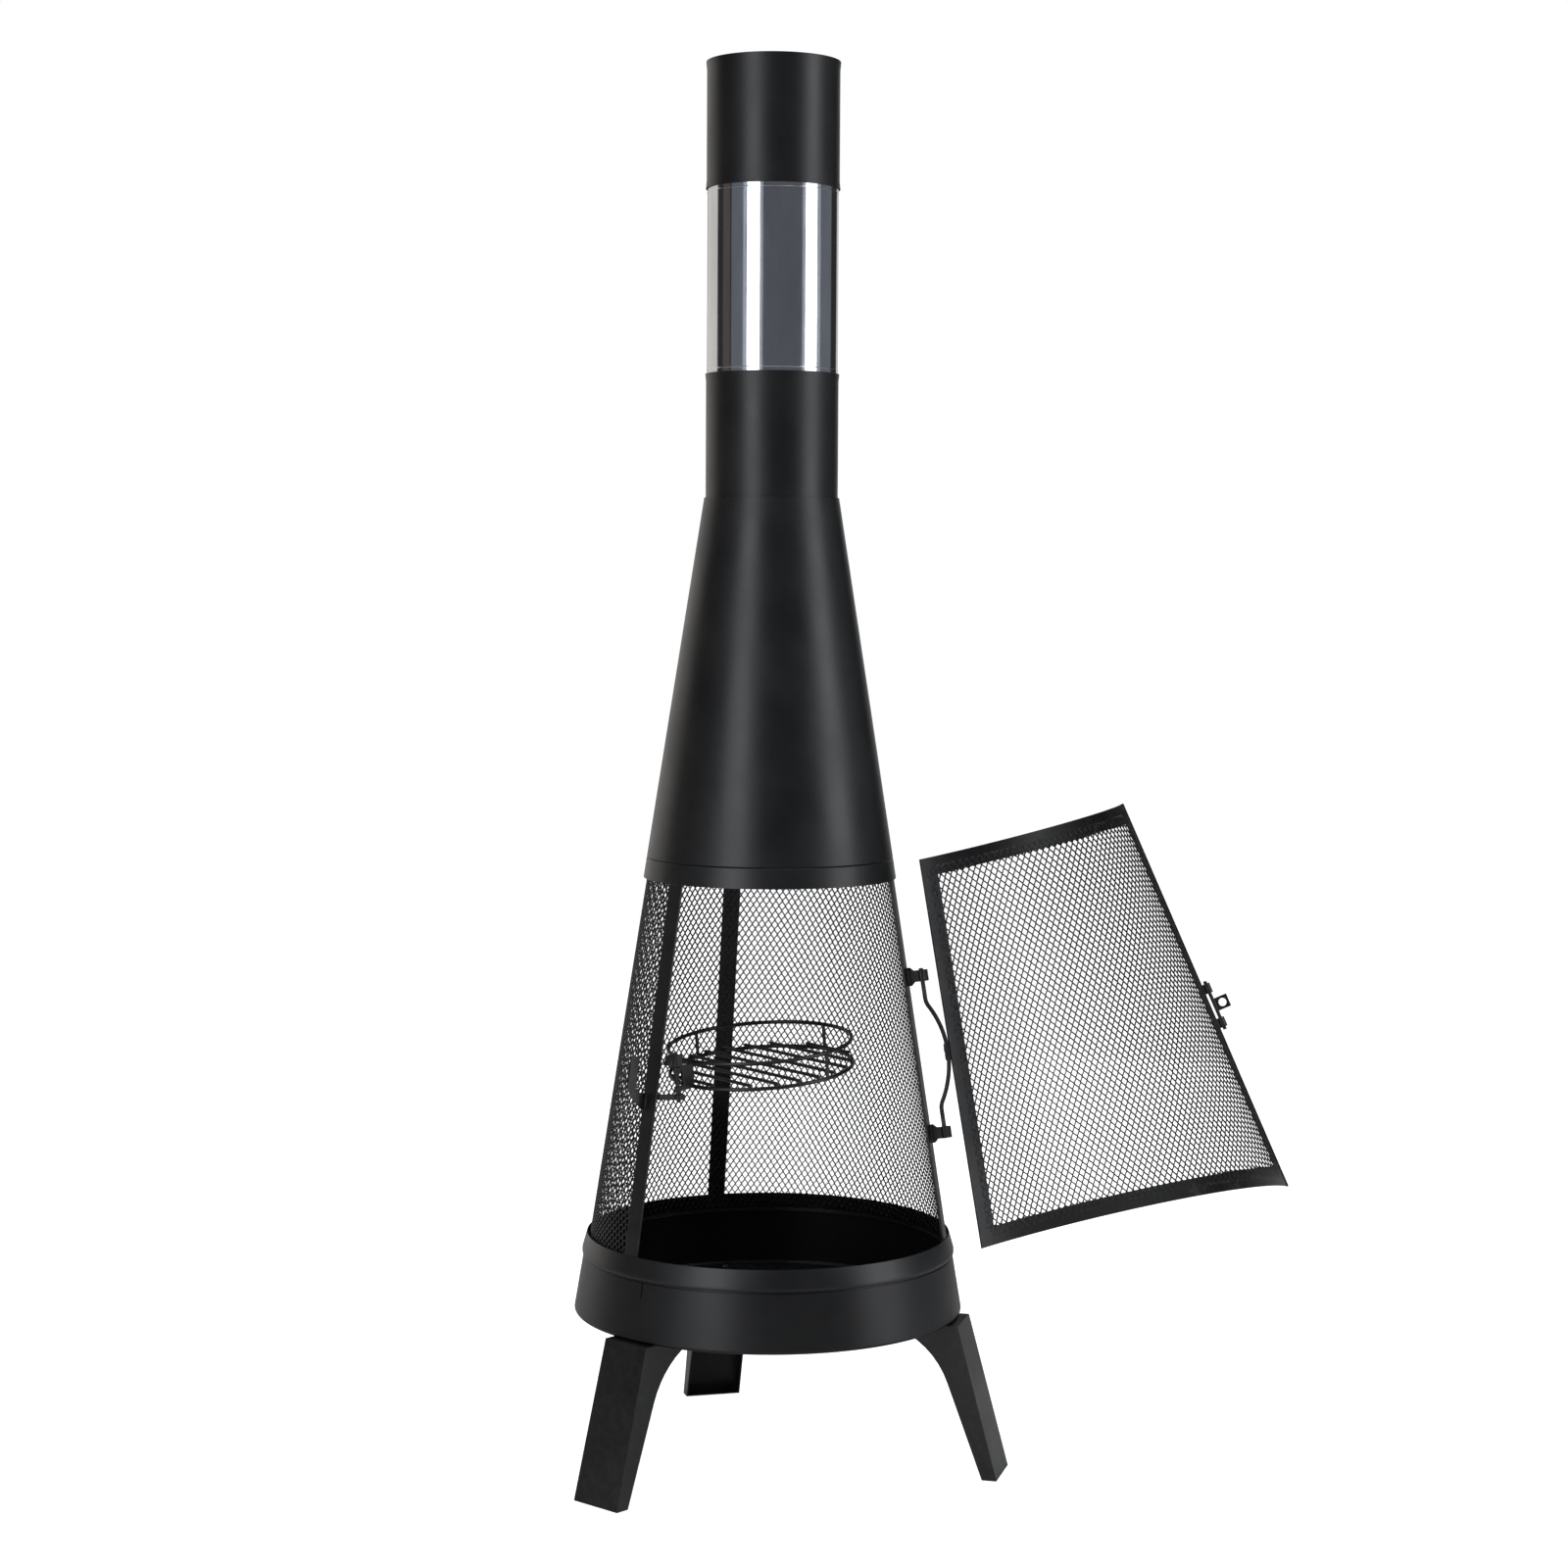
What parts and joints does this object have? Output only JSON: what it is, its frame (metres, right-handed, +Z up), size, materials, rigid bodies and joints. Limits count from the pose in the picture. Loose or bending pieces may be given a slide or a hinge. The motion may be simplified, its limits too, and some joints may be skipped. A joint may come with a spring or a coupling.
{
  "type": "chiminea",
  "caption": "Tall conical steel chiminea on splayed sheet legs, with a mesh fire box, a hinged curved mesh door, a swing-out wire cooking grate and a round flue.",
  "frame": {"origin": "on the ground, under the vertical centre line of the body and flue", "axes": "+Z up along the flue; -Y towards the front, where the fire box opens; +X towards the hinged side of the door"},
  "size_m": [0.7919, 0.507, 1.6],
  "materials": {
    "satin_paint": "satin heat-resistant black paint",
    "painted_mesh": "satin black paint on expanded steel mesh",
    "painted_iron": "satin black paint, worn where it slides",
    "grate_steel": "black-coated steel wire",
    "polished_steel": "mirror-polished stainless steel"
  },
  "bodies": {
    "body": {"leg_left": "satin_paint", "leg_right": "satin_paint", "leg_rear": "satin_paint", "leg_bolts": "painted_iron", "leg_nuts": "painted_iron", "bowl_floor": "satin_paint", "bowl_wall": "satin_paint", "low_ring": "satin_paint", "top_ring": "satin_paint", "post_left": "satin_paint", "post_right": "satin_paint", "post_rear": "satin_paint", "body_mesh": "painted_mesh", "hood": "satin_paint", "flue_seat": "satin_paint", "low_flue": "satin_paint", "bright_flue": "polished_steel", "top_flue": "satin_paint", "hinge_strap_upper": "satin_paint", "hinge_strap_lower": "satin_paint", "latch_hook": "satin_paint", "grate_strap_upper": "satin_paint", "grate_strap_lower": "satin_paint"},
    "door": {"door_top_strip": "satin_paint", "door_bottom_strip": "satin_paint", "door_hinge_strip": "satin_paint", "door_free_strip": "satin_paint", "door_mesh": "painted_mesh", "hinge_rod": "painted_iron", "latch_strap_upper": "satin_paint", "latch_strap_lower": "satin_paint"},
    "latch": {"latch_rod": "painted_iron", "latch_eye": "painted_iron"},
    "grate": {"grate_pin": "grate_steel", "grate_knuckle": "grate_steel", "grate_top_ring": "grate_steel", "grate_low_ring": "grate_steel", "grate_upright_1": "grate_steel", "grate_upright_2": "grate_steel", "grate_upright_3": "grate_steel", "grate_bar_1": "grate_steel", "grate_bar_2": "grate_steel", "grate_bar_3": "grate_steel", "grate_bar_4": "grate_steel", "grate_bar_5": "grate_steel", "grate_bar_6": "grate_steel", "grate_bar_7": "grate_steel", "grate_bar_8": "grate_steel", "grate_bar_9": "grate_steel"}
  },
  "joints": [
    {"name": "door_swing", "type": "hinge", "parent": "body", "child": "door", "pos_m": [0.1883, -0.0332, 0.47625], "axis": [-0.1528, 0.0269, 0.9879], "range_deg": [-138, 32]},
    {"name": "latch_turn", "type": "hinge", "parent": "door", "child": "latch", "pos_m": [0.48937, -0.17205, 0.55353], "axis": [-0.3925, 0.1372, 0.9095], "range_deg": [-90, 80]},
    {"name": "grate_swing", "type": "hinge", "parent": "body", "child": "grate", "pos_m": [-0.10097, -0.12923, 0.4475], "axis": [0.0688, 0.0692, -0.9952], "range_deg": [-15, 17]}
  ]
}
